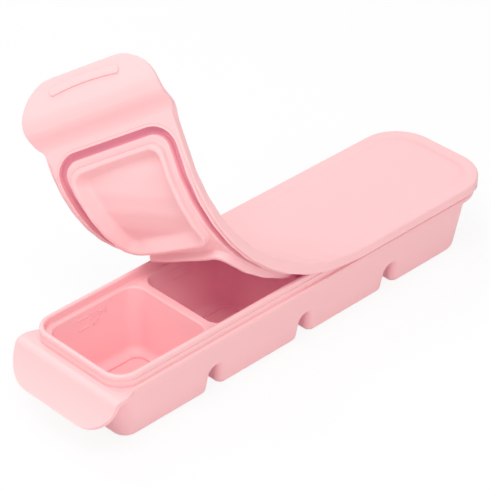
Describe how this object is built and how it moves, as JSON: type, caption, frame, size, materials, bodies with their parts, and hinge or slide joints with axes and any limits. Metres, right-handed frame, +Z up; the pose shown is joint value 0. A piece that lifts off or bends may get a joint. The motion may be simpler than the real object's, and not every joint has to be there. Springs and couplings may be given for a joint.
{
  "type": "baby food freezer tray",
  "caption": "Silicone freezer tray for baby food: a row of square cups with marked fill lines and a finger tongue, closed by a peel-off silicone lid with plug rings and a pull tab.",
  "frame": {"origin": "centre of the underside of the third cup, counted from the tongue end", "axes": "+X along the tray away from the tongue, +Y towards the wall with the fill lines, +Z up"},
  "size_m": [0.25, 0.0977, 0.1478],
  "materials": {
    "tray_silicone": "matte silicone",
    "lid_silicone": "matte silicone"
  },
  "bodies": {
    "tray": {"tray": "tray_silicone"},
    "lid_seated": {"lid_seated": "lid_silicone"},
    "lid_strip_01": {"lid_strip_01": "lid_silicone"},
    "lid_strip_02": {"lid_strip_02": "lid_silicone"},
    "lid_strip_03": {"lid_strip_03": "lid_silicone"},
    "lid_strip_04": {"lid_strip_04": "lid_silicone"},
    "lid_strip_05": {"lid_strip_05": "lid_silicone"},
    "lid_strip_06": {"lid_strip_06": "lid_silicone"},
    "lid_strip_07": {"lid_strip_07": "lid_silicone"},
    "lid_strip_08": {"lid_strip_08": "lid_silicone"},
    "lid_strip_09": {"lid_strip_09": "lid_silicone"},
    "lid_strip_10": {"lid_strip_10": "lid_silicone"},
    "lid_strip_11": {"lid_strip_11": "lid_silicone"},
    "lid_tab": {"lid_tab": "lid_silicone"}
  },
  "joints": [
    {"name": "lid_lift", "type": "slide", "parent": "tray", "child": "lid_seated", "axis": [0, 0, 1], "range_m": [0, 0.06]},
    {"name": "lid_peel", "type": "hinge", "parent": "lid_seated", "child": "lid_strip_01", "pos_m": [-0.02065, 0, 0.0368], "axis": [-0.5878, 0.809, 0], "range_deg": [-6.2, 1.24]},
    {"name": "lid_bend_02", "type": "hinge", "parent": "lid_strip_01", "child": "lid_strip_02", "pos_m": [-0.03141, 0.00003, 0.03774], "axis": [-0.5614, 0.8276, -0.0035], "range_deg": [-7.4, 1.48]},
    {"name": "lid_bend_03", "type": "hinge", "parent": "lid_strip_02", "child": "lid_strip_03", "pos_m": [-0.04202, 0.00017, 0.03983], "axis": [-0.535, 0.8448, -0.0111], "range_deg": [-8.5, 1.7]},
    {"name": "lid_bend_04", "type": "hinge", "parent": "lid_strip_03", "child": "lid_strip_04", "pos_m": [-0.05227, 0.00055, 0.0432], "axis": [-0.5092, 0.8603, -0.0233], "range_deg": [-9.3, 1.86]},
    {"name": "lid_bend_05", "type": "hinge", "parent": "lid_strip_04", "child": "lid_strip_05", "pos_m": [-0.06197, 0.0013, 0.04791], "axis": [-0.4849, 0.8737, -0.0402], "range_deg": [-9.8, 1.96]},
    {"name": "lid_bend_06", "type": "hinge", "parent": "lid_strip_05", "child": "lid_strip_06", "pos_m": [-0.07084, 0.00257, 0.05394], "axis": [-0.4628, 0.8843, -0.0615], "range_deg": [-10.2, 2.04]},
    {"name": "lid_bend_07", "type": "hinge", "parent": "lid_strip_06", "child": "lid_strip_07", "pos_m": [-0.07866, 0.00447, 0.06115], "axis": [-0.4438, 0.8919, -0.0867], "range_deg": [-10.8, 2.16]},
    {"name": "lid_bend_08", "type": "hinge", "parent": "lid_strip_07", "child": "lid_strip_08", "pos_m": [-0.08514, 0.00713, 0.06938], "axis": [-0.4288, 0.896, -0.1152], "range_deg": [-11.4, 2.28]},
    {"name": "lid_bend_09", "type": "hinge", "parent": "lid_strip_08", "child": "lid_strip_09", "pos_m": [-0.09001, 0.01067, 0.07836], "axis": [-0.4186, 0.8963, -0.146], "range_deg": [-12.1, 2.42]},
    {"name": "lid_bend_10", "type": "hinge", "parent": "lid_strip_09", "child": "lid_strip_10", "pos_m": [-0.09301, 0.01513, 0.08773], "axis": [-0.414, 0.8927, -0.178], "range_deg": [-12.9, 2.58]},
    {"name": "lid_bend_11", "type": "hinge", "parent": "lid_strip_10", "child": "lid_strip_11", "pos_m": [-0.09393, 0.02056, 0.09703], "axis": [-0.4155, 0.8851, -0.2095], "range_deg": [-13.7, 2.74]},
    {"name": "tab_flex", "type": "hinge", "parent": "lid_strip_11", "child": "lid_tab", "pos_m": [-0.09478, 0.03292, 0.11742], "axis": [-0.4729, 0.7446, -0.4712], "range_deg": [-10, 35]}
  ],
  "couplings": [
    {"joint": "lid_bend_02", "follows": "lid_peel", "ratio": 1.1935},
    {"joint": "lid_bend_03", "follows": "lid_peel", "ratio": 1.371},
    {"joint": "lid_bend_04", "follows": "lid_peel", "ratio": 1.5},
    {"joint": "lid_bend_05", "follows": "lid_peel", "ratio": 1.5806},
    {"joint": "lid_bend_06", "follows": "lid_peel", "ratio": 1.6452},
    {"joint": "lid_bend_07", "follows": "lid_peel", "ratio": 1.7419},
    {"joint": "lid_bend_08", "follows": "lid_peel", "ratio": 1.8387},
    {"joint": "lid_bend_09", "follows": "lid_peel", "ratio": 1.9516},
    {"joint": "lid_bend_10", "follows": "lid_peel", "ratio": 2.0806},
    {"joint": "lid_bend_11", "follows": "lid_peel", "ratio": 2.2097}
  ]
}
